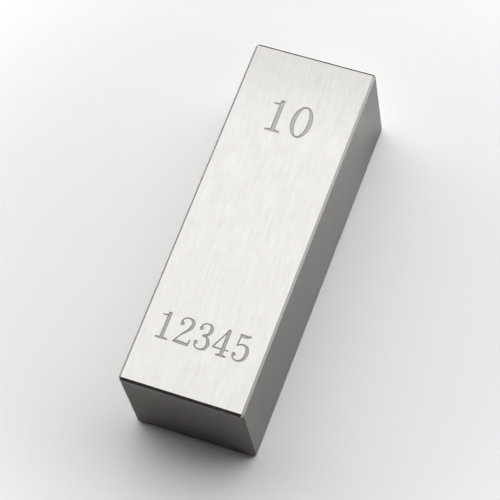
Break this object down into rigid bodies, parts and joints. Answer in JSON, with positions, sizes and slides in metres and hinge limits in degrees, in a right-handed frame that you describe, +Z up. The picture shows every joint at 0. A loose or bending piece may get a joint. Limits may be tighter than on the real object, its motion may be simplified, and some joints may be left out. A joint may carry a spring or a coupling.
{
  "type": "gauge block",
  "caption": "Rectangular steel length standard with two parallel lapped gauging faces, ground side faces and bevelled edges.",
  "frame": {"origin": "middle of the lower side face, on which the block lies at rest", "axes": "+X along the gauging axis, normal to the gauging faces; +Y along the long side of the section; +Z up, out of the upper side face, which is the one that carries the nominal size"},
  "size_m": [0.01, 0.03, 0.009],
  "materials": {
    "steel": "hardened steel: gauging faces lapped to a near mirror, the other four faces fine ground"
  },
  "bodies": {
    "root": {"gauge_block": "steel"}
  },
  "joints": []
}
